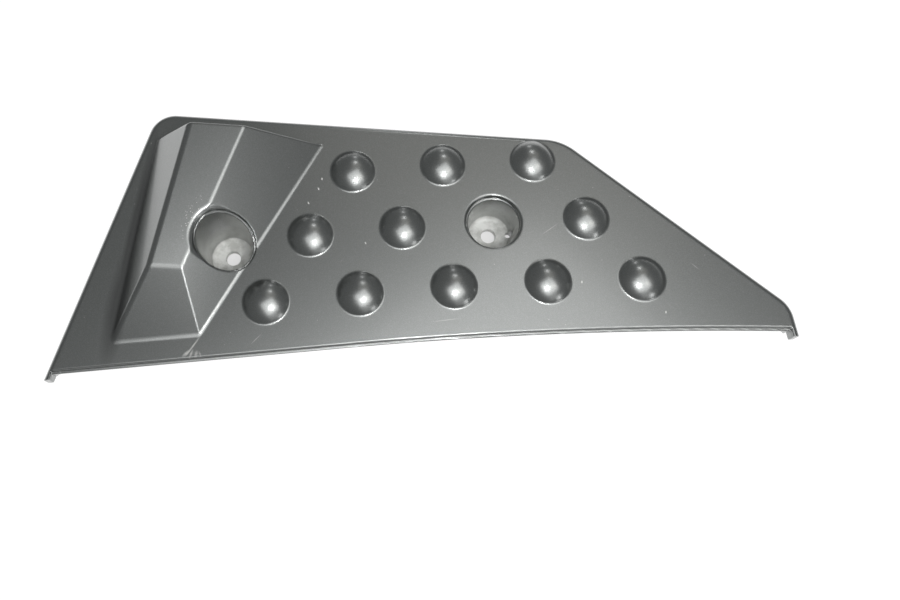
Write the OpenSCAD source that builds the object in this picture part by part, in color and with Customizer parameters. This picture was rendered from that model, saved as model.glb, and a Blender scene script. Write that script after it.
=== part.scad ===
// Left floorboard panel of a scooter, moulded as one shell and painted.
// Origin: centre of the screw hole in the cup that stands in the raised block,
// on the underside of that cup. +X runs through the second screw hole, +Z is up.

/* [Shell] */
// Thickness of the moulded wall
wall = 2.5; // [2:0.1:3]
// Height of the tread surface above the underside of the screw cups
deck_z = 23; // [20:0.5:30]
// Depth of the turned-down flange, measured from the tread surface
flange_depth = 8; // [6:0.5:11]
// Outward lean of the flange
flange_draft = 2; // [0:0.5:5]
// Radius of the rolled edge above the flange
edge_r = 3; // [2.5:0.1:4]

/* [Outline] */
// Length of the panel, from the front end of its left edge to its nose
panel_length = 334; // [330:0.1:345]
// Width of the panel, from its rear corner to the straight part of its front lip
panel_width = 123.2; // [121:0.1:128]
// Distance from the first screw hole to the nose
nose_reach = 250.7; // [246:0.1:254]
// Distance of the nose corner in front of the screw holes
nose_y = 51.4; // [49:0.1:53]
// Place along X of the corner between the rear edge and the long slanting edge
bend_x = 161.5; // [156:0.1:166]
// Distance of that corner behind the screw holes
bend_y = 39.1; // [37:0.1:44]
// Angle of the left edge from the X axis
left_angle = 67.3; // [60:0.1:75]
// Angle of the nose edge from the X axis
nose_angle = 88; // [80:0.5:95]
// Corner radius between the left and rear edges
rear_left_r = 12.5; // [8:0.5:16]
// Corner radius between the rear and slanting edges
rear_right_r = 24; // [12:0.5:30]
// Corner radius between the slanting and nose edges
nose_r = 14; // [8:0.5:18]

/* [Front edge] */
// Distance of the front lip in front of the screw holes
front_y = 52.3; // [50:0.1:54]
// Place along X where the straight part of the lip ends
front_straight_x = 52; // [30:1:90]
// Radius of the hollow curve that the lip follows after that
front_curve_r = 1800; // [1200:10:2400]
// Width of the step that the neighbouring panel laps over
step_w = 1.2; // [0.8:0.1:2]
// Depth of that step below the tread surface
step_depth = 1.3; // [0.8:0.1:1.6]
// Rounding of the tread surface above the step
step_round = 0.8; // [0.4:0.1:1]
// Length of the flange ends in front of the lip
lug_reach = 2.4; // [1:0.1:4]
// Width of the flange ends
lug_w = 3.6; // [3:0.1:5]
// Width of the gusset inside each flange end
gusset_w = 4; // [2:0.5:6]
// Thickness of those gussets
gusset_t = 2; // [1.5:0.1:3]

/* [Screw cups] */
// Distance between the two screw holes
hole_spacing = 123.3; // [115:0.1:130]
// Diameter of the screw holes
hole_d = 7; // [5:0.1:8]
// Thickness of the cup floors
cup_floor = 3.4; // [2.5:0.1:5]
// Radius of the flat floor in both cups
cup_floor_r = 9.9; // [8:0.1:10.5]
// Lean of the cup walls
cup_taper = 3; // [2:0.5:8]
// Rounding between cup wall and cup floor
cup_fillet = 2; // [1:0.1:2.5]
// Rounding of the cup mouths
mouth_round = 4.3; // [2:0.1:4.5]
// Diameter of the drain hole in the outer cup
drain_d = 2.8; // [2:0.1:3.4]

/* [Grip studs] */
// Distance between studs in a row
stud_pitch = 42.5; // [38:0.1:46]
// Distance between rows
row_pitch = 29.8; // [28:0.1:32]
// Sideways shift from one row to the next
row_shift = 22.25; // [20:0.05:24]
// Number of studs in the rows, from the front
row_count = [5, 4, 3]; // [1:1:5]
// Radius of the dome's sphere
dome_r = 13.6; // [11:0.1:16]
// Radius of the hollow at its foot
dome_fillet = 1.4; // [1:0.1:4]
// Steepest slope of a dome, where both meet
dome_slope = 47; // [35:1:60]

/* [Raised block] */
// Foot corner at the front left
block_front_left = [-53.3, -40.6]; // [-60:0.1:60]
// Foot corner at the front right
block_front_right = [-14, -40.8]; // [-60:0.1:60]
// Foot corner at the rear right
block_rear_right = [47.4, 46.3]; // [-60:0.1:60]
// Foot corner at the rear left
block_rear_left = [-30.8, 57.2]; // [-60:0.1:60]
// Slopes of the front, right, rear and left faces
block_slopes = [27.6, 36.5, 84.5, 49.2]; // [15:0.1:88]
// Height of the top face over the tread surface, above the first screw hole
block_h = 15.4; // [10:0.1:18]
// Rise of the top face for each millimetre towards the rear
block_rise = 0.14; // [0.05:0.005:0.2]
// Fall of the top face for each millimetre to the right
block_fall = 0.045; // [0:0.001:0.06]
// Size of the rounding along the block's edges
block_round = 0.8; // [0.5:0.1:2.5]
// Size of the hollow along the block's foot
block_foot = 0.7; // [0.5:0.1:2.5]
// Size of the rounding at the block's corners
block_corner = 1.6; // [1:0.1:5]

/* [Hidden] */
// Small overlap that keeps joined faces from lying in one plane
bite = 0.03;
// Reach of the cutting shapes past the panel
past = 12;
// Steps of a rounded edge, of a rounded corner, of a dome and of a full turn
edge_steps = 5;
corner_steps = 6;
dome_steps = 9;
turn_steps = 72;
under_z = deck_z - wall;
flange_z = deck_z - flange_depth;
cup_depth = deck_z - cup_floor;
hole_r = hole_d / 2;
drain_r = drain_d / 2;
second_cup = [hole_spacing, 0];

// Sharp corners of the outline
left_tip = [nose_reach - panel_length, -front_y - lug_reach];
rear_left = [left_tip.x + (panel_width + lug_reach) / tan(left_angle), panel_width - front_y];
rear_right = [bend_x, bend_y];
nose = [nose_reach, -nose_y];

// Plane geometry of the outline
function unit(v) = v / norm(v);
function along(p, angle, y) = [p.x + (y - p.y) / tan(angle), y];
function left_of(a, b) = let (u = unit(b - a)) [-u.y, u.x];
function cross_point(p, u, q, v) = p + u * cross(q - p, v) / cross(u, v);
// Corners of the panel carried forward to the line y = front, counter-clockwise
function corners(front) = [along(rear_left, left_angle, front),
    along(nose, -nose_angle, front), nose, rear_right, rear_left];
corner_r = [edge_r + bite, edge_r + bite, nose_r, rear_right_r, rear_left_r];
function turn_centre(c, k, r) = let (a = c[(k + 4) % 5], b = c[k], d = c[(k + 1) % 5])
    cross_point(a + r * left_of(a, b), b - a, b + r * left_of(b, d), d - b);
function direction(a, b) = atan2(b.y - a.y, b.x - a.x);
function sweep_angle(a, b) = (b - a + 360) % 360;
// Outline with round corners, moved inwards by inset
function outline(front, inset) = let (c = corners(front)) [for (k = [0:4])
    let (start = direction(c[(k + 4) % 5], c[k]) - 90,
         turn = sweep_angle(start, direction(c[k], c[(k + 1) % 5]) - 90),
         centre = turn_centre(c, k, corner_r[k]))
    for (i = [0:corner_steps]) let (a = start + turn * i / corner_steps)
        centre + (corner_r[k] - inset) * [cos(a), sin(a)]];
function lift(points, z) = [for (p = points) [p.x, p.y, z]];

// Solid between rings of equally many points, closed by its first and last ring
module loft(rings) {
    count = len(rings[0]);
    last = (len(rings) - 1) * count;
    sides = [for (j = [0:len(rings) - 2], i = [0:count - 1])
        let (a = j * count + i, b = j * count + (i + 1) % count)
        each [[a, a + count, b], [b, a + count, b + count]]];
    polyhedron([for (ring = rings) each ring],
        concat(sides, [[for (i = [0:count - 1]) i], [for (i = [count - 1:-1:0]) last + i]]),
        convexity = 10);
}

// Front edge: a straight lip that runs into one large hollow curve
function lip(x) = let (s = max(0, x - front_straight_x))
    -front_y - (front_curve_r - sqrt(front_curve_r * front_curve_r - s * s));
lip_steps = 14;
left_end = along(rear_left, left_angle, lip(rear_left.x) - lug_reach);
right_end = along(nose, -nose_angle, lip(nose.x) - lug_reach);
lip_start = left_end.x + lug_w;
lip_end = right_end.x - lug_w;
lip_x = concat([lip_start], [for (i = [0:lip_steps])
    front_straight_x + (lip_end - front_straight_x) * i / lip_steps]);
// Line well in front of everything that is kept
clear_y = min(left_end.y, right_end.y) - past;
// Region in front of the lip, moved back by inset and closed past that line
function front_region(inset, z) = let (far = clear_y - 2 * past)
    concat([[lip_start, far, z], [lip_end, far, z]],
        [for (i = [len(lip_x) - 1:-1:0]) [lip_x[i], lip(lip_x[i]) + inset, z]]);

// Faces of the raised block as planes [normal, distance], each moved inwards by depth
block_corners = [block_front_left, block_front_right, block_rear_right, block_rear_left];
block_faces = [for (k = [0:3]) let (a = block_corners[k], n = -left_of(a, block_corners[(k + 1) % 4]),
    v = [n.x * sin(block_slopes[k]), n.y * sin(block_slopes[k]), cos(block_slopes[k])])
    [v, v * [a.x, a.y, deck_z]]];
top_normal = unit([block_fall, -block_rise, 1]);
block_top = [top_normal, top_normal * [0, 0, deck_z + block_h]];
function inwards(plane, depth) = [plane[0], plane[1] - depth];
function level(z) = [[0, 0, 1], z];
function meet(p, q, r) = (p[1] * cross(q[0], r[0]) + q[1] * cross(r[0], p[0]) + r[1] * cross(p[0], q[0]))
    / (p[0] * cross(q[0], r[0]));
// Corners where a cap plane cuts the side faces, each corner rounded over size
function block_ring(cap, depth, size) = let (c = [for (k = [0:3])
    meet(cap, inwards(block_faces[k], depth), inwards(block_faces[(k + 3) % 4], depth))])
    [for (k = [0:3]) each curve(c[k] + size * unit(c[(k + 3) % 4] - c[k]), c[k],
        c[k] + size * unit(c[(k + 1) % 4] - c[k]), corner_steps)];
function curve(a, b, c, steps) = [for (i = [0:steps]) let (t = i / steps)
    (1 - t) * (1 - t) * a + 2 * t * (1 - t) * b + t * t * c];
function curve_rings(a, b, c, steps) = [for (j = [0:steps]) let (t = j / steps)
    (1 - t) * (1 - t) * a + 2 * t * (1 - t) * b + t * t * c];

// Block between its hollow foot and its rounded top, depth inside the outer faces
module block_form(depth, root) {
    foot = level(deck_z - depth - bite);
    top = inwards(block_top, depth);
    loft(concat([block_ring(level(root), depth - block_foot, block_corner)],
        curve_rings(block_ring(foot, depth - block_foot, block_corner),
            block_ring(foot, depth, block_corner),
            block_ring(inwards(foot, -block_foot / 2), depth, block_corner), edge_steps),
        curve_rings(block_ring(inwards(top, block_round / 2), depth, block_corner),
            block_ring(top, depth, block_corner),
            block_ring(top, depth + block_round, block_corner), edge_steps)));
}

// Height of the finished surface over a point of the plan
function face_z(plane, p) = (plane[1] - plane[0].x * p.x - plane[0].y * p.y) / plane[0].z;
function surface_z(p) = max(deck_z, min(concat([face_z(block_top, p)],
    [for (face = block_faces) face_z(face, p)])));

// Tray without its hollow: rolled edge above a leaning flange
module tray_form() {
    lean = (flange_depth - edge_r) * tan(flange_draft);
    loft(concat([lift(outline(clear_y, -lean), flange_z)],
        [for (i = [0:edge_steps]) let (a = 90 * i / edge_steps)
            lift(outline(clear_y, edge_r * (1 - cos(a))), deck_z - edge_r * (1 - sin(a)))]));
}

module tray_hollow() {
    front = clear_y - past;
    lean = (flange_depth - wall) * tan(flange_draft);
    inner_r = edge_r - wall;
    loft([lift(outline(front, wall - lean - bite), flange_z - 1),
        lift(outline(front, wall), under_z - inner_r),
        lift(outline(front, wall + inner_r), under_z)]);
}

// Domed stud, turned about its own axis with a hollow at its foot
dome_foot = (dome_r + dome_fillet) * sin(dome_slope);
dome_h = (dome_r + dome_fillet) * (1 - cos(dome_slope));
module dome() {
    foot = [for (i = [0:edge_steps]) let (a = dome_slope * i / edge_steps)
        [dome_foot - dome_fillet * sin(a), dome_fillet * (1 - cos(a))]];
    crown = [for (i = [dome_steps - 1:-1:0]) let (a = dome_slope * i / dome_steps)
        [dome_r * sin(a), dome_h - dome_r * (1 - cos(a))]];
    translate([0, 0, deck_z - bite]) rotate_extrude($fn = turn_steps)
        polygon(concat([[0, -wall / 2], [dome_foot, -wall / 2]], foot, crown));
}

module dome_hollow() {
    r = dome_r - wall;
    translate([0, 0, deck_z]) rotate_extrude($fn = turn_steps) intersection() {
        translate([0, dome_h - dome_r]) circle(r, $fn = turn_steps);
        translate([0, -wall - 1]) square(r + wall);
    }
}

// Studs lie in rows that follow the front lip; the outer cup takes one stud's place
cup_row = 1;
cup_column = 2;
module at_studs() {
    for (row = [0:len(row_count) - 1], i = [0:row_count[row] - 1]) {
        x = hole_spacing + (i - cup_column) * stud_pitch + (row - cup_row) * row_shift;
        y = lip(x) - lip(hole_spacing) + (row - cup_row) * row_pitch;
        if (row != cup_row || i != cup_column) translate([x, y]) children();
    }
}

// Cup wall as a cone about the hole; grow adds to its radius
function cup_r(z) = cup_floor_r + (z - cup_floor) * tan(cup_taper);
cup_top = deck_z + 2 * block_h;
module cup_body(top) {
    cylinder(h = top, r1 = cup_r(0) + wall, r2 = cup_r(top) + wall, $fn = turn_steps);
}

module cup_bore() {
    foot_r = cup_r(cup_floor + cup_fillet);
    translate([0, 0, cup_floor]) rotate_extrude($fn = turn_steps) polygon(concat([[0, 0]],
        curve([foot_r - cup_fillet, 0], [cup_floor_r, 0], [foot_r, cup_fillet], edge_steps),
        [[cup_r(cup_top), cup_top - cup_floor], [0, cup_top - cup_floor]]));
    translate([0, 0, -1]) cylinder(h = cup_floor + 2, r = hole_r, $fn = turn_steps);
}

// Rounded mouth that follows the surface around the cup at centre
module cup_mouth(centre) {
    edge_z = function (a, r) surface_z(centre + r * [cos(a), sin(a)]);
    wall_r = function (a) cup_r(edge_z(a, cup_r(deck_z)));
    ring = function (t) [for (i = [0:turn_steps - 1]) let (a = 360 * i / turn_steps,
        r1 = wall_r(a), r0 = r1 + mouth_round, z1 = edge_z(a, r1), z0 = edge_z(a, r0) + bite,
        z2 = z1 - mouth_round, r2 = cup_r(z2) - bite,
        r = (1 - t) * (1 - t) * r0 + 2 * t * (1 - t) * r1 + t * t * r2,
        z = (1 - t) * (1 - t) * z0 + 2 * t * (1 - t) * z1 + t * t * z2)
        [centre.x + r * cos(a), centre.y + r * sin(a), z]];
    rim = ring(0);
    loft(concat([for (j = [edge_steps:-1:0]) ring(j / edge_steps)],
        [[for (p = rim) [p.x, p.y, cup_top]]]));
}

// Cuts that leave the lip, its step and the flange ends
module front_cut() {
    loft([front_region(0, flange_z - past), front_region(0, deck_z + past)]);
    loft(concat([front_region(step_w, deck_z - step_depth)],
        [for (i = [0:edge_steps]) let (a = 90 * i / edge_steps)
            front_region(step_w + step_round * (1 - cos(a)), deck_z - step_round * (1 - sin(a)))],
        [front_region(step_w + step_round, deck_z + past)]));
    for (end = [left_end, right_end])
        translate([end.x - 2 * past, end.y - 4 * past, flange_z - past])
            cube([4 * past, 4 * past, flange_depth + 2 * past]);
}

module gusset(x, side) {
    top = under_z + wall / 2;
    translate([x, lip(x) + gusset_t]) rotate([90, 0, 0]) linear_extrude(gusset_t)
        polygon([[0, flange_z], [0, top], [side * gusset_w, top], [side * gusset_w, under_z]]);
}

module floor_panel() {
    color("#56595a") difference() {
        union() {
            difference() {
                union() {
                    tray_form();
                    block_form(0, under_z);
                    at_studs() dome();
                }
                tray_hollow();
                block_form(wall, under_z - 1);
                at_studs() dome_hollow();
            }
            intersection() {
                cup_body(cup_top);
                union() {
                    block_form(0, under_z);
                    cylinder(h = deck_z - wall / 2, r = cup_r(deck_z) + 2 * wall, $fn = turn_steps);
                }
            }
            translate(second_cup) cup_body(deck_z - wall / 2);
            gusset(lip_start - bite, 1);
            gusset(lip_end + bite, -1);
        }
        cup_bore();
        translate(second_cup) cup_bore();
        cup_mouth([0, 0]);
        cup_mouth(second_cup);
        translate([second_cup.x + cup_floor_r, -drain_r / 2, -1])
            cylinder(h = cup_floor + cup_fillet + 2, r = drain_r, $fn = turn_steps / 2);
        front_cut();
    }
}

floor_panel();
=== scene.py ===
"""Looks of a scooter floorboard panel that lies on a white table, seen from above its front edge."""

import math

import bpy
import numpy as np
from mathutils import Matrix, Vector


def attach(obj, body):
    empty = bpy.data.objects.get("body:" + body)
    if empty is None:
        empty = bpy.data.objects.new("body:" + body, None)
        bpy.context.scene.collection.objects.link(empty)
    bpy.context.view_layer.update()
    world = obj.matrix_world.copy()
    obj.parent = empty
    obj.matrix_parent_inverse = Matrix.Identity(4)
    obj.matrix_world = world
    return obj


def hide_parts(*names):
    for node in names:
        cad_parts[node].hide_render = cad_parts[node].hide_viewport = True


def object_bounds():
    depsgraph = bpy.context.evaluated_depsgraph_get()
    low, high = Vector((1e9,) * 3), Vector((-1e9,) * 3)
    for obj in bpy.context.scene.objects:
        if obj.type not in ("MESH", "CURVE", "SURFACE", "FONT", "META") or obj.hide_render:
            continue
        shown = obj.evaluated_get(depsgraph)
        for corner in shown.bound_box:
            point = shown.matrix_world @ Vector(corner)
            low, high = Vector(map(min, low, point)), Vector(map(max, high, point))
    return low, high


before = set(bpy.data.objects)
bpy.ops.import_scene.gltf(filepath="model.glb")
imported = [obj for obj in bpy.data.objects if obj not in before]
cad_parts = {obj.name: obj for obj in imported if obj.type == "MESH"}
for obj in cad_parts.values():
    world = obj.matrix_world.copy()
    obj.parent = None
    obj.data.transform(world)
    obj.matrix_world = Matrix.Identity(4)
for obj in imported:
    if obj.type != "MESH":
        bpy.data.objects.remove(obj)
cad_size = [list(corner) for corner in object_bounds()]

# Camera: held by hand in front of the panel and above it, and turned a little to the right. The
# photo is an off-centre crop of a larger picture, so the lens is shifted by that much.
camera_data = bpy.data.cameras.new("camera")
camera_data.sensor_width = 36.0
camera_data.lens = 33.0
camera_data.shift_x = 0.1
camera_data.shift_y = -0.0333
camera_data.clip_start = 0.01
camera = bpy.data.objects.new("camera", camera_data)
bpy.context.scene.collection.objects.link(camera)
camera.location = (0.0502, -0.1277, 0.3805)
camera.rotation_euler = [math.radians(turn) for turn in (17.1973, 0.1368, -5.25)]
bpy.context.scene.camera = camera


# Table top: a large sheet of matt white laminate, lit until it comes out plain white. It reaches
# past the picture on all sides and gives the panel its white surroundings.
def linear(hex_code):
    """Linear colour of an sRGB hex code, with full alpha."""
    parts = [int(hex_code[i:i + 2], 16) / 255 for i in (1, 3, 5)]
    return [p / 12.92 if p <= 0.04045 else ((p + 0.055) / 1.055) ** 2.4 for p in parts] + [1.0]


def add(tree, kind, settings=(), **sockets):
    """Adds a shader node, sets its options and values, and links the sockets given as outputs."""
    node = tree.nodes.new(kind)
    for name, value in dict(settings).items():
        setattr(node, name, value)
    for name, value in sockets.items():
        key = int(name[1:]) if name[0] == "_" else name.replace("_", " ")
        if isinstance(value, bpy.types.NodeSocket):
            tree.links.new(value, node.inputs[key])
        else:
            node.inputs[key].default_value = value
    return node


def new_material(name):
    """An empty material and its node tree."""
    material = bpy.data.materials.new(name)
    material.use_nodes = True
    material.node_tree.nodes.clear()
    return material, material.node_tree


def bright_laminate(name, colour, roughness, glow):
    """Melamine laminate in bright light: the glow stands for light that a photo can't hold."""
    laminate, tree = new_material(name)
    face = add(tree, "ShaderNodeBsdfPrincipled", Base_Color=linear(colour), Roughness=roughness,
               Emission_Color=linear("#ffffff"), Emission_Strength=glow)
    add(tree, "ShaderNodeOutputMaterial", Surface=face.outputs["BSDF"])
    return laminate


def lay_squares(name, squares, height, laminate):
    """A staged sheet of flat squares, each given by its middle and half its side, in metres."""
    points = [(middle_x + half * side_x, middle_y + half * side_y, height)
              for middle_x, middle_y, half in squares
              for side_x, side_y in ((-1, -1), (1, -1), (1, 1), (-1, 1))]
    mesh = bpy.data.meshes.new(name)
    mesh.from_pydata(points, [], [range(4 * k, 4 * k + 4) for k in range(len(squares))])
    mesh.materials.append(laminate)
    sheet = bpy.data.objects.new(name, mesh)
    bpy.context.scene.collection.objects.link(sheet)


white_laminate = bright_laminate("white_laminate", "#6a6a6a", 0.6, 0.93)
lay_squares("table_top", [(0.08, 0.0, 0.9)], -0.001, white_laminate)

# Table under the screw cups: the same laminate, but the panel shades it. So what shows through
# the screw holes is a pale grey and not the white of the open table.
hole_spacing = 123.3
shaded_laminate = bright_laminate("shaded_white_laminate", "#6f6f6d", 0.8, 0.58)
shaded_squares = [(hole_x / 1000, 0.0, 0.012) for hole_x in (0.0, hole_spacing)]
lay_squares("shaded_table", shaded_squares, -0.0005, shaded_laminate)

# Light: a wide ceiling lamp in front makes the glow on the deck, and a flash beside the camera
# the bright spot on every stud. The lamps to the right and behind, two of them warmer, make the
# small lights on the studs. Each has its place and width in metres, its power and its colour.
lamps = (
    ("flash", (0.121, -0.153, 0.344), 0.05, 0.4, "#ffffff"),
    ("ceiling_front", (0.21, -0.23, 0.8), 0.84, 4.7, "#ffffff"),
    ("window_front", (0.87, -1.91, 1.42), 1.4, 3.5, "#ffffff"),
    ("ceiling_right", (1.08, -0.59, 2.23), 0.7, 2.1, "#fffaf1"),
    ("ceiling_rear", (0.73, 1.27, 2.07), 1.4, 2.0, "#fffaf1"),
    ("rear_lamp_high", (0.42, 1.25, 1.15), 0.25, 1.2, "#ffffff"),
    ("rear_lamp_low", (0.33, 1.45, 0.34), 0.16, 0.4, "#ffffff"),
    ("side_lamp", (0.71, -0.68, 0.27), 0.2, 0.5, "#ffffff"))
lit_place = Vector((0.08, 0.0, 0.02))
for name, place, side, power, colour in lamps:
    light = bpy.data.lights.new(name, "AREA")
    light.shape = "SQUARE"
    light.size = side
    light.energy = power
    light.color = linear(colour)[:3]
    lamp = bpy.data.objects.new(name, light)
    bpy.context.scene.collection.objects.link(lamp)
    lamp.location = place
    lamp.rotation_mode = "QUATERNION"
    lamp.rotation_quaternion = (lit_place - Vector(place)).to_track_quat("-Z", "Y")
    lamp.visible_camera = False

# Room: even grey walls all round, which the paint mirrors where no lamp is.
room = bpy.data.worlds.new("room")
room.use_nodes = True
walls = room.node_tree.nodes["Background"]
walls.inputs["Color"].default_value = linear("#8a8c8c")
walls.inputs["Strength"].default_value = 0.85
bpy.context.scene.world = room
bpy.context.scene.view_settings.view_transform = "Standard"

# Floorboard panel: one injection-moulded plastic shell, painted on its outside. It has a rolled edge,
# a faceted raised block, domed grip studs and two deep cups, in which screws hold it to the frame.
# Sizes are the part's own, in millimetres from the middle of the hole under the block.
wall = 2.5
deck_z = 23.0
flange_z = 15.0
flange_lean = math.tan(math.radians(2.0))
edge_r = 3.0
front_y, front_straight_x, front_curve_r = -52.3, 52.0, 1800.0


def front_line(x):
    """Front edge of the panel: straight, then one large hollow curve."""
    past = np.maximum(0.0, x - front_straight_x)
    return front_y - (front_curve_r - np.sqrt(front_curve_r ** 2 - past * past))


def round_both(radius, *sides):
    """Distance to what lies inside all the sides, with the edges between them rounded."""
    least = np.full_like(sides[0], -radius)
    square = np.zeros_like(sides[0])
    deepest = sides[0]
    for side in sides:
        square += np.maximum(side + radius, 0.0) ** 2
        deepest = np.maximum(deepest, side)
    return np.minimum(least, deepest) + np.sqrt(square)


def round_join(radius, *forms):
    """Distance to the forms joined, with a hollow of that size between them."""
    return -round_both(radius, *[-form for form in forms])


def unit(vector):
    """The same direction with length one."""
    return vector / np.linalg.norm(vector)


# Outline, from the front of the nose round the rear to the front of the left edge. Both of its
# ends run on past the front edge, which cuts them off.
nose, rear_right, rear_left = np.array((250.7, -51.4)), np.array((161.5, 39.1)), np.array((-30.8, 70.9))
nose_angle, left_angle, run_on = math.radians(88.0), math.radians(67.3), 140.0
nose_front = nose + run_on * np.array((math.cos(nose_angle), -math.sin(nose_angle)))
left_front = rear_left - run_on * np.array((math.cos(left_angle), math.sin(left_angle)))
outline = (nose_front, nose, rear_right, rear_left, left_front)
corner_radii = (14.0, 24.0, 12.5)


def outline_distance(x, y):
    """Distance outside the round-cornered outline, negative inside, open towards the front."""
    far = np.full_like(x, -1e9)
    for start, end in zip(outline, outline[1:]):
        u = unit(end - start)
        far = np.maximum(far, (x - start[0]) * u[1] - (y - start[1]) * u[0])
    for before, corner, after, radius in zip(outline, outline[1:], outline[2:], corner_radii):
        u, v = unit(corner - before), unit(after - corner)
        cut_back = math.tan(math.acos(u @ v) / 2) * radius
        middle = corner - u * cut_back + np.array((-u[1], u[0])) * radius
        dx, dy = x - middle[0], y - middle[1]
        turning = (dx * u[0] + dy * u[1] > 0) & (dx * v[0] + dy * v[1] < 0)
        far = np.where(turning, np.sqrt(dx * dx + dy * dy) - radius, far)
    return far


# Grip studs: three rows that follow the front edge. The outer screw cup takes one stud's place.
dome_r, dome_fillet, dome_slope = 13.6, 1.4, math.radians(47.0)
dome_h = (dome_r + dome_fillet) * (1 - math.cos(dome_slope))
stud_pitch, row_pitch, row_shift = 42.5, 29.8, 22.25
stud_places = []
for row, count in enumerate((5, 4, 3)):
    for i in range(count):
        stud_x = hole_spacing + (i - 2) * stud_pitch + (row - 1) * row_shift
        stud_y = front_line(stud_x) - front_line(hole_spacing) + (row - 1) * row_pitch
        if (row, i) != (1, 2):
            stud_places.append((stud_x, stud_y))

# Raised block: corners of its foot from the front left one on, and the slopes in degrees of its
# front, right, rear and left face. Its top rises to the rear and falls to the right.
block_foot = ((-53.3, -40.6), (-14.0, -40.8), (47.4, 46.3), (-30.8, 57.2))
block_slopes = (27.6, 36.5, 84.5, 49.2)
block_h, block_rise, block_fall = 15.4, 0.14, 0.045
front_ridge_r, top_ridge_r, rear_ridge_r, left_ridge_r, foot_r = 0.15, 0.42, 1.1, 1.6, 0.6


def block_distance(x, y, z):
    """Distance to the raised block, with each of its ridges rounded."""
    faces = []
    for k, slope in enumerate(block_slopes):
        (ax, ay), (bx, by) = block_foot[k], block_foot[(k + 1) % 4]
        out_x, out_y = unit(np.array((by - ay, ax - bx))).tolist()
        steep, flat = math.sin(math.radians(slope)), math.cos(math.radians(slope))
        faces.append(((x - ax) * out_x + (y - ay) * out_y) * steep + (z - deck_z) * flat)
    front, right, rear, left = faces
    up = unit(np.array((block_fall, -block_rise, 1.0)))
    top = x * up[0] + y * up[1] + (z - deck_z - block_h) * up[2]
    block = round_both(top_ridge_r, round_both(front_ridge_r, front, right), top)
    return round_both(left_ridge_r, round_both(rear_ridge_r, block, rear), left)


def upper_distance(x, y, z):
    """Distance to the outer form without its cups: rolled edge, flange, studs and block."""
    side = outline_distance(x, y) - np.maximum(0.0, deck_z - edge_r - z) * flange_lean
    form = round_both(edge_r, side, z - deck_z)
    nearest = np.full_like(x, 1e9)
    for stud_x, stud_y in stud_places:
        nearest = np.minimum(nearest, (x - stud_x) ** 2 + (y - stud_y) ** 2)
    dome = np.sqrt(nearest + (z - deck_z - dome_h + dome_r) ** 2) - dome_r
    form = round_join(dome_fillet * (1 - math.cos(dome_slope)), form, dome)
    return round_join(foot_r, form, block_distance(x, y, z))


# Screw cups: tapered, with a narrow seat for a cap just inside the mouth. The block's cup leans a
# little, and its mouth is rolled wider on the side of the block's top. Bare is how far the spray
# left its floor unpainted. Leans are per millimetre of height.
cup_floor, floor_fillet, post_fillet, hole_r = 3.4, 2.2, 1.0, 3.5
seat_depth, seat_wall, seat_edge_r, seat_shift = 2.1, 1.4, 0.35, (-0.25, 0.35)
roll_way, roll_start, roll_fade = (0.87, -0.5), -3.0, 6.0
screw_cups = (
    {"x": 0.0, "floor_r": 10.0, "taper": math.radians(4.8), "lean": (0.015, -0.03),
     "seat_r": 13.1, "mouth_r": 0.5, "roll": 2.2, "bare": 1.0},
    {"x": hole_spacing, "floor_r": 9.7, "taper": math.radians(7.2), "lean": (0.0, 0.0),
     "seat_r": 12.6, "mouth_r": 1.2, "roll": 0.0, "bare": 0.9})
drain, drain_r = (133.0, -0.7), 1.4


def cup_wall(cup, x, y, z):
    """Place across the leaning axis of a cup, and the distance outside its tapered wall."""
    rise = z - cup_floor
    dx, dy = x - cup["x"] - cup["lean"][0] * rise, y - cup["lean"][1] * rise
    out = np.sqrt(dx ** 2 + dy ** 2) - cup["floor_r"] - rise * math.tan(cup["taper"])
    return dx, dy, out * math.cos(cup["taper"])


# Ends of the stepped front lip: place along the panel, the way in from there, and how far forward
# the lug beside it reaches. A small gusset stands behind the lip at each end.
front_ends = ((-79.7, 1.0, -54.7), (247.6, -1.0, -65.7))
step_w, step_depth, step_r, step_edge_r = 1.2, 1.3, 0.2, 0.8
gusset_w, gusset_t, gusset_top, gusset_slope = 4.0, 2.0, 21.75, 1.375
trim_r = 0.3


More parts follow.
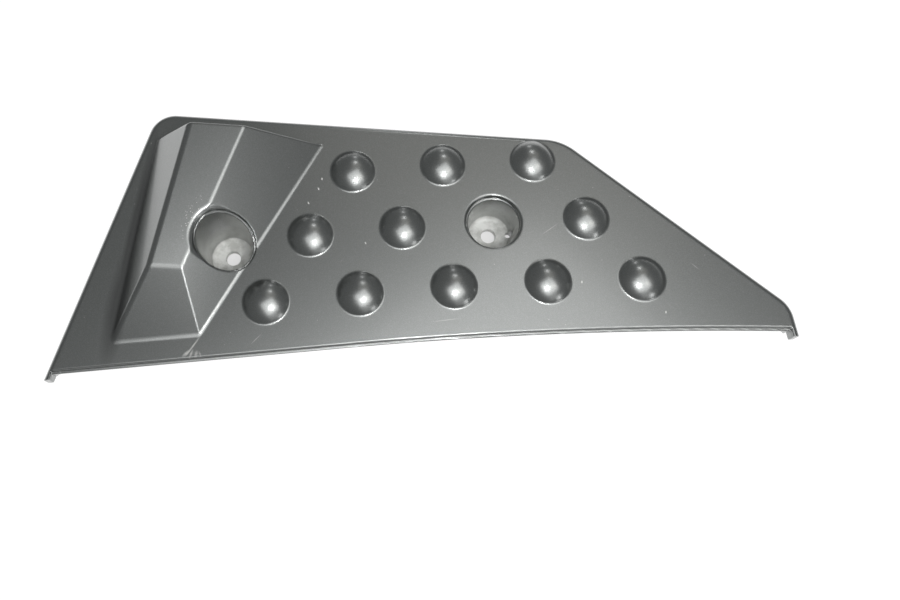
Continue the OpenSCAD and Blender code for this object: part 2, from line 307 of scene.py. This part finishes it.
def panel_distance(points):
    """Distance to the whole panel at each point, in millimetres."""
    x, y, z = points[..., 0], points[..., 1], points[..., 2]
    upper = upper_distance(x, y, z)
    top, void, under = upper, upper + wall, flange_z - z
    holes = np.sqrt((x - drain[0]) ** 2 + (y - drain[1]) ** 2) - drain_r
    for cup in screw_cups:
        dx, dy, inside = cup_wall(cup, x, y, z)
        cavity = round_both(floor_fillet, inside, cup_floor - z)
        seat = np.sqrt((dx - seat_shift[0]) ** 2 + (dy - seat_shift[1]) ** 2) - cup["seat_r"]
        cavity = round_join(seat_edge_r, cavity, np.maximum(seat, -seat_depth - upper))
        toward = x * roll_way[0] + y * roll_way[1]
        mouth = cup["mouth_r"] + cup["roll"] * np.clip((roll_start - toward) / roll_fade, 0, 1)
        top = round_both(mouth, top, -cavity)
        outside = np.minimum(inside - wall, np.maximum(seat, -seat_depth - upper) - seat_wall)
        void = round_both(post_fillet, void, -outside)
        under = np.minimum(under, np.maximum(outside, -z))
        holes = np.minimum(holes, np.sqrt((x - cup["x"]) ** 2 + y * y) - hole_r)
    ahead = front_line(x) - y
    step = [-ahead - step_w, deck_z - step_depth - z] + [way * (end - x) for end, way, lug_y in front_ends]
    top = round_both(step_edge_r, top, -round_both(step_r, *step))
    panel = np.maximum(np.maximum(top, -void), under)
    for end, way, lug_y in front_ends:
        along, behind = way * (x - end), y - front_line(end)
        gusset = np.maximum(np.maximum(-along, along - gusset_w), np.maximum(-behind, behind - gusset_t))
        slant = (flange_z + gusset_slope * along - z) / math.hypot(gusset_slope, 1.0)
        panel = np.minimum(panel, np.maximum(gusset, np.maximum(slant, z - gusset_top)))
        ahead = np.minimum(ahead, np.maximum(along, lug_y - y))
    return round_both(trim_r, round_both(trim_r, panel, -holes), ahead)


def next_to(axis):
    """Two cuts of a grid that set each of its points beside the next one along the axis."""
    here, there = [slice(None)] * 3, [slice(None)] * 3
    here[axis], there[axis] = slice(None, -1), slice(1, None)
    return tuple(here), tuple(there)


def surface(distance, low, high, pitch):
    """Mesh where the distance is zero: one point in each grid cell that the surface crosses, at the
    mean of its crossings with the cell's edges, and a four-sided face round each crossed edge."""
    axes = [np.arange(l - pitch, h + 2 * pitch, pitch, dtype=np.float32) for l, h in zip(low, high)]
    shape = [len(a) for a in axes]
    value = np.empty(shape, np.float32)
    for k in range(0, shape[0], 40):
        value[k:k + 40] = distance(np.stack(np.meshgrid(axes[0][k:k + 40], *axes[1:], indexing="ij"), -1))
    solid = value < 0
    cells = [s - 1 for s in shape]
    total, count = np.zeros(cells + [3], np.float32), np.zeros(cells, np.float32)
    for axis in range(3):
        here, there = next_to(axis)
        crossed = solid[here] != solid[there]
        at = np.where(crossed, value[here] / np.where(crossed, value[here] - value[there], 1.0), 0.0)
        others = [k for k in range(3) if k != axis]
        for steps in ((0, 0), (0, 1), (1, 0), (1, 1)):
            edge = [slice(None)] * 3
            for other, step in zip(others, steps):
                edge[other] = slice(step, step + cells[other])
            hit = crossed[tuple(edge)]
            count += hit
            total[..., axis] += at[tuple(edge)]
            for other, step in zip(others, steps):
                total[..., other] += hit * step
    used = count > 0
    number = np.full(cells, -1, np.int64)
    number[used] = np.arange(used.sum())
    points = (total[used] / count[used][:, None] + np.argwhere(used)) * pitch
    points = points + np.array([a[0] for a in axes])
    faces = []
    for axis in range(3):
        u, v = (axis + 1) % 3, (axis + 2) % 3
        here, there = next_to(axis)
        edges = np.argwhere(solid[here] != solid[there])
        ringed = (edges[:, u] > 0) & (edges[:, v] > 0) & (edges[:, u] < cells[u]) & (edges[:, v] < cells[v])
        edges = edges[ringed]
        ring = []
        for back_u, back_v in ((1, 1), (0, 1), (0, 0), (1, 0)):
            cell = edges.copy()
            cell[:, u] -= back_u
            cell[:, v] -= back_v
            ring.append(number[tuple(cell.T)])
        face = np.stack(ring, -1)
        turned = ~solid[here][tuple(edges.T)]
        face[turned] = face[turned][:, ::-1]
        faces.append(face)
    return points, np.concatenate(faces)


def growth(distance, points, reach):
    """Direction in which the distance grows, from samples a little way off."""
    out = np.empty_like(points)
    for axis in range(3):
        move = np.zeros(3)
        move[axis] = reach
        out[:, axis] = (distance(points + move) - distance(points - move)) / (2 * reach)
    return out


# Shell: the surface is found on a grid, drawn onto the exact form, kept within the part's own
# box, and thinned where it is flat.
grid_low, grid_high = (-84.5, -66.0, -0.5), (251.5, 69.5, 46.0)
grid_pitch = 0.62
most_triangles, slope_reach, longest_move = 190000, 0.05, 0.2
points, faces = surface(panel_distance, grid_low, grid_high, grid_pitch)
for _ in range(3):
    slope = growth(panel_distance, points, slope_reach)
    steepness = np.maximum((slope ** 2).sum(1), 0.25)
    move = slope * (panel_distance(points) / steepness)[:, None]
    points -= np.clip(move, -longest_move, longest_move)
box_low, box_high = [np.array(corner) * 1000 for corner in cad_size]
points = np.clip(points, box_low, box_high)
panel_mesh = bpy.data.meshes.new("floor_panel_shell")
panel_mesh.from_pydata((points / 1000).tolist(), [], faces.tolist())
panel = bpy.data.objects.new("floor_panel_shell", panel_mesh)
bpy.context.scene.collection.objects.link(panel)
if len(faces) * 2 > most_triangles:
    thin = panel.modifiers.new("thin", "DECIMATE")
    thin.ratio = most_triangles / (len(faces) * 2)
    bpy.context.view_layer.update()
    thinned = panel.evaluated_get(bpy.context.evaluated_depsgraph_get())
    panel_mesh = bpy.data.meshes.new_from_object(thinned)
    panel.modifiers.clear()
    panel.data = panel_mesh

# Smooth shading: every face's corner takes its direction from the exact form just inside the face,
# so that ridges stay crisp and round forms stay smooth.
places = np.empty(len(panel_mesh.vertices) * 3, np.float32)
panel_mesh.vertices.foreach_get("co", places)
places = places.reshape(-1, 3).astype(float) * 1000
corners = np.empty(len(panel_mesh.loops), np.int32)
panel_mesh.loops.foreach_get("vertex_index", corners)
sides = np.empty(len(panel_mesh.polygons), np.int32)
panel_mesh.polygons.foreach_get("loop_total", sides)
middles = np.add.reduceat(places[corners], np.r_[0, np.cumsum(sides)[:-1]], axis=0) / sides[:, None]
inset, shading_reach = 0.15, 0.2
just_inside = places[corners] * (1 - inset) + np.repeat(middles, sides, axis=0) * inset
normals = growth(panel_distance, just_inside, shading_reach)
normals /= np.maximum(np.linalg.norm(normals, axis=1), 1e-6)[:, None]
panel_mesh.polygons.foreach_set("use_smooth", np.ones(len(panel_mesh.polygons), bool))
panel_mesh.normals_split_custom_set(normals.tolist())

# Where the spray thinned out: 0 on the paint, a little down the walls of the cups, and about 1 on
# their floors. Heights are where each of the two starts, and how far it takes to come in.
floor_from, floor_fade, wall_from, wall_fade, wall_bare = 5.0, 0.7, 20.0, 8.0, 0.38
wall_margin, above_underside = 0.6, 0.4
x, y, z = places.T
deep = np.clip((floor_from - z) / floor_fade, 0, 1) + wall_bare * np.clip((wall_from - z) / wall_fade, 0, 1)
bare = np.zeros(len(places))
for cup in screw_cups:
    in_cup = (cup_wall(cup, x, y, z)[2] < wall_margin) & (z > above_underside)
    bare = np.maximum(bare, np.where(in_cup, np.minimum(deep, cup["bare"]), 0.0))
panel_mesh.attributes.new("bare", "FLOAT", "POINT").data.foreach_set("value", bare.astype(np.float32))

# Paint: dark silver metallic, sprayed, under a satin-gloss clear lacquer. The flakes spread the
# lamps into a soft glow, and the lacquer adds a small sharp spot to it on every stud. Real flakes
# are too fine to show, so they are drawn 0.35 mm wide.
metallic_paint, tree = new_material("dark_silver_metallic_paint")
place = add(tree, "ShaderNodeTexCoord").outputs["Object"]
flake = add(tree, "ShaderNodeTexVoronoi", Vector=place, Scale=1000 / 0.35)
flake_tone = add(tree, "ShaderNodeMapRange", Value=flake.outputs["Distance"], From_Min=0.1, From_Max=0.8,
                 To_Min=0.88, To_Max=1.15)
flakes = add(tree, "ShaderNodeMix", {"data_type": "RGBA", "blend_type": "MULTIPLY"}, Factor=1.0,
             _6=linear("#808281"), _7=flake_tone.outputs["Result"])
paint = add(tree, "ShaderNodeBsdfPrincipled", Base_Color=flakes.outputs[2], Metallic=0.95, Roughness=0.31,
            Coat_Weight=0.6, Coat_Roughness=0.13)


def oval(middle, turn, half_sizes):
    """An oval patch of the panel, 1 in its middle and 0 at its edge, in millimetres and degrees."""
    over = add(tree, "ShaderNodeMapping", {"vector_type": "TEXTURE"}, Vector=place,
               Location=[part / 1000 for part in middle], Rotation=(0.0, 0.0, math.radians(turn)),
               Scale=[half / 1000 for half in half_sizes])
    return add(tree, "ShaderNodeTexGradient", {"gradient_type": "SPHERICAL"},
               Vector=over.outputs["Vector"]).outputs["Fac"]


# Painted shade: a matt dark colour mixed into the paint in the crease along the left foot of the block,
# where shade falls. It is widest towards the front, where it also climbs the face. Each patch has its
# middle and its half sizes along the crease, across it and up.
(foot_front_x, foot_front_y), (foot_rear_x, foot_rear_y) = block_foot[0], block_foot[3]
crease_turn = math.degrees(math.atan2(foot_rear_y - foot_front_y, foot_rear_x - foot_front_x))
shade_patches = (((-43.4, 7.6, 23.5), (62.0, 3.2, 6.0)), ((-49.4, -22.5, 24.5), (32.0, 6.5, 10.0)))
painted_crease_shade = 0.0
for middle, half_sizes in shade_patches:
    patch = add(tree, "ShaderNodeMapRange", Value=oval(middle, crease_turn, half_sizes), From_Max=0.6,
                To_Max=0.8)
    painted_crease_shade = add(tree, "ShaderNodeMath", {"operation": "MAXIMUM"}, _0=painted_crease_shade,
                      _1=patch.outputs["Result"]).outputs["Value"]
# The matt dark colour that paints the shade in the crease.
painted_shade = add(tree, "ShaderNodeBsdfPrincipled", Base_Color=linear("#2e2f2f"), Roughness=0.7)
paint_with_shade = add(tree, "ShaderNodeMixShader", _0=painted_crease_shade, _1=paint.outputs["BSDF"], _2=painted_shade.outputs["BSDF"])

# Wear: lacquer rubbed dull and pale, and a few pale crumbs on it, each where the photo has it. A
# mark has its place, its turn, its half length and half width, and how strongly it shows.
scuff_with_its_fan = (
    (-17.1, -45.6, 51, 6.8, 0.5, 0.5),
    (-20.3, -48.7, 38, 2.6, 0.9, 0.5),
    (-18.1, -49.1, 66, 2.7, 0.7, 0.45),
    (-15.9, -49.3, 74, 2.1, 0.9, 0.4),
    (-14.2, -49.5, 106, 1.7, 0.5, 0.35))
crumbs = (
    (45.8, 28.8, -94, 0.8, 0.35, 1.2),
    (43.8, 23.9, -70, 0.9, 0.35, 1.2),
    (38.6, 17.3, -69, 0.9, 0.35, 1.2),
    (63.2, -4.8, -70, 0.8, 0.35, 1.2),
    (158.7, -32.3, -100, 0.8, 0.4, 1.2),
    (193.6, -49.6, -102, 0.8, 0.4, 1.2))
scratches = (
    (95.5, -44.2, 2, 7.5, 0.25, 0.35),
    (148.4, -5.8, 30, 6.2, 0.25, 0.3),
    (10.8, -45.0, 41, 4.0, 0.3, 0.35),
    (211.0, -29.6, -48, 3.1, 0.3, 0.3))
worn = 0.0
for mark_x, mark_y, turn, half_length, half_width, strength in scuff_with_its_fan + crumbs + scratches:
    stroke = oval((mark_x, mark_y, deck_z), turn, (half_length, half_width, 2.0))
    worn = add(tree, "ShaderNodeMath", {"operation": "MULTIPLY_ADD"}, _0=stroke, _1=strength,
               _2=worn).outputs["Value"]

# Painted glints and dust: pale grains at about one to a millimetre beside the block's cup paint the
# glints of the flakes in the lamps' glow there, and thin pale dust specks lie elsewhere.
grain = add(tree, "ShaderNodeTexVoronoi", Vector=place, Scale=1000 / 1.0)
grain_spot = add(tree, "ShaderNodeMapRange", Value=grain.outputs["Distance"], From_Min=0.2, From_Max=0.12)
# Painted glints of the flakes, beside the block's cup only.
glint_grains = add(tree, "ShaderNodeMath", {"operation": "MULTIPLY"}, _0=grain_spot.outputs["Result"],
            _1=oval((-12.5, 8.5, 38.0), 60.0, (13.5, 5.5, 12.0)))
speck = add(tree, "ShaderNodeTexVoronoi", Vector=place, Scale=1000 / 7.0)
speck_spot = add(tree, "ShaderNodeMapRange", Value=speck.outputs["Distance"], From_Min=0.035, From_Max=0.02,
                 To_Max=0.35)
# Painted glints beside the cup, added to the dust specks elsewhere.
dust_and_glints = add(tree, "ShaderNodeMath", {"operation": "MULTIPLY_ADD"}, _0=glint_grains.outputs["Value"], _1=1.6,
           _2=speck_spot.outputs["Result"])
marks_and_glints = add(tree, "ShaderNodeMath", {"operation": "ADD", "use_clamp": True}, _0=dust_and_glints.outputs["Value"], _1=worn)
pale = add(tree, "ShaderNodeBsdfPrincipled", Base_Color=linear("#e2e2de"), Roughness=0.6)
dusty_and_glinting = add(tree, "ShaderNodeMixShader", _0=marks_and_glints.outputs["Value"], _1=paint_with_shade.outputs["Shader"],
            _2=pale.outputs["BSDF"])

# Bare plastic: light grey moulded plastic on the floors of the cups, matt, with soft darker stains
# about 5 mm wide where water has dried.
stain = add(tree, "ShaderNodeTexNoise", Vector=place, Scale=1000 / 5.0, Detail=4.0, Roughness=0.6)
stained = add(tree, "ShaderNodeMapRange", Value=stain.outputs["Fac"], From_Min=0.42, From_Max=0.62)
floor_tone = add(tree, "ShaderNodeMix", {"data_type": "RGBA"}, Factor=stained.outputs["Result"],
                 _6=linear("#d3d4d1"), _7=linear("#b2b3af"))
plastic = add(tree, "ShaderNodeBsdfPrincipled", Base_Color=floor_tone.outputs[2], Roughness=0.6)
bare_here = add(tree, "ShaderNodeAttribute", {"attribute_name": "bare"})
skin = add(tree, "ShaderNodeMixShader", _0=bare_here.outputs["Fac"], _1=dusty_and_glinting.outputs["Shader"],
           _2=plastic.outputs["BSDF"])
add(tree, "ShaderNodeOutputMaterial", Surface=skin.outputs["Shader"])
panel_mesh.materials.append(metallic_paint)
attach(panel, "root")
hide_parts("floor_panel")
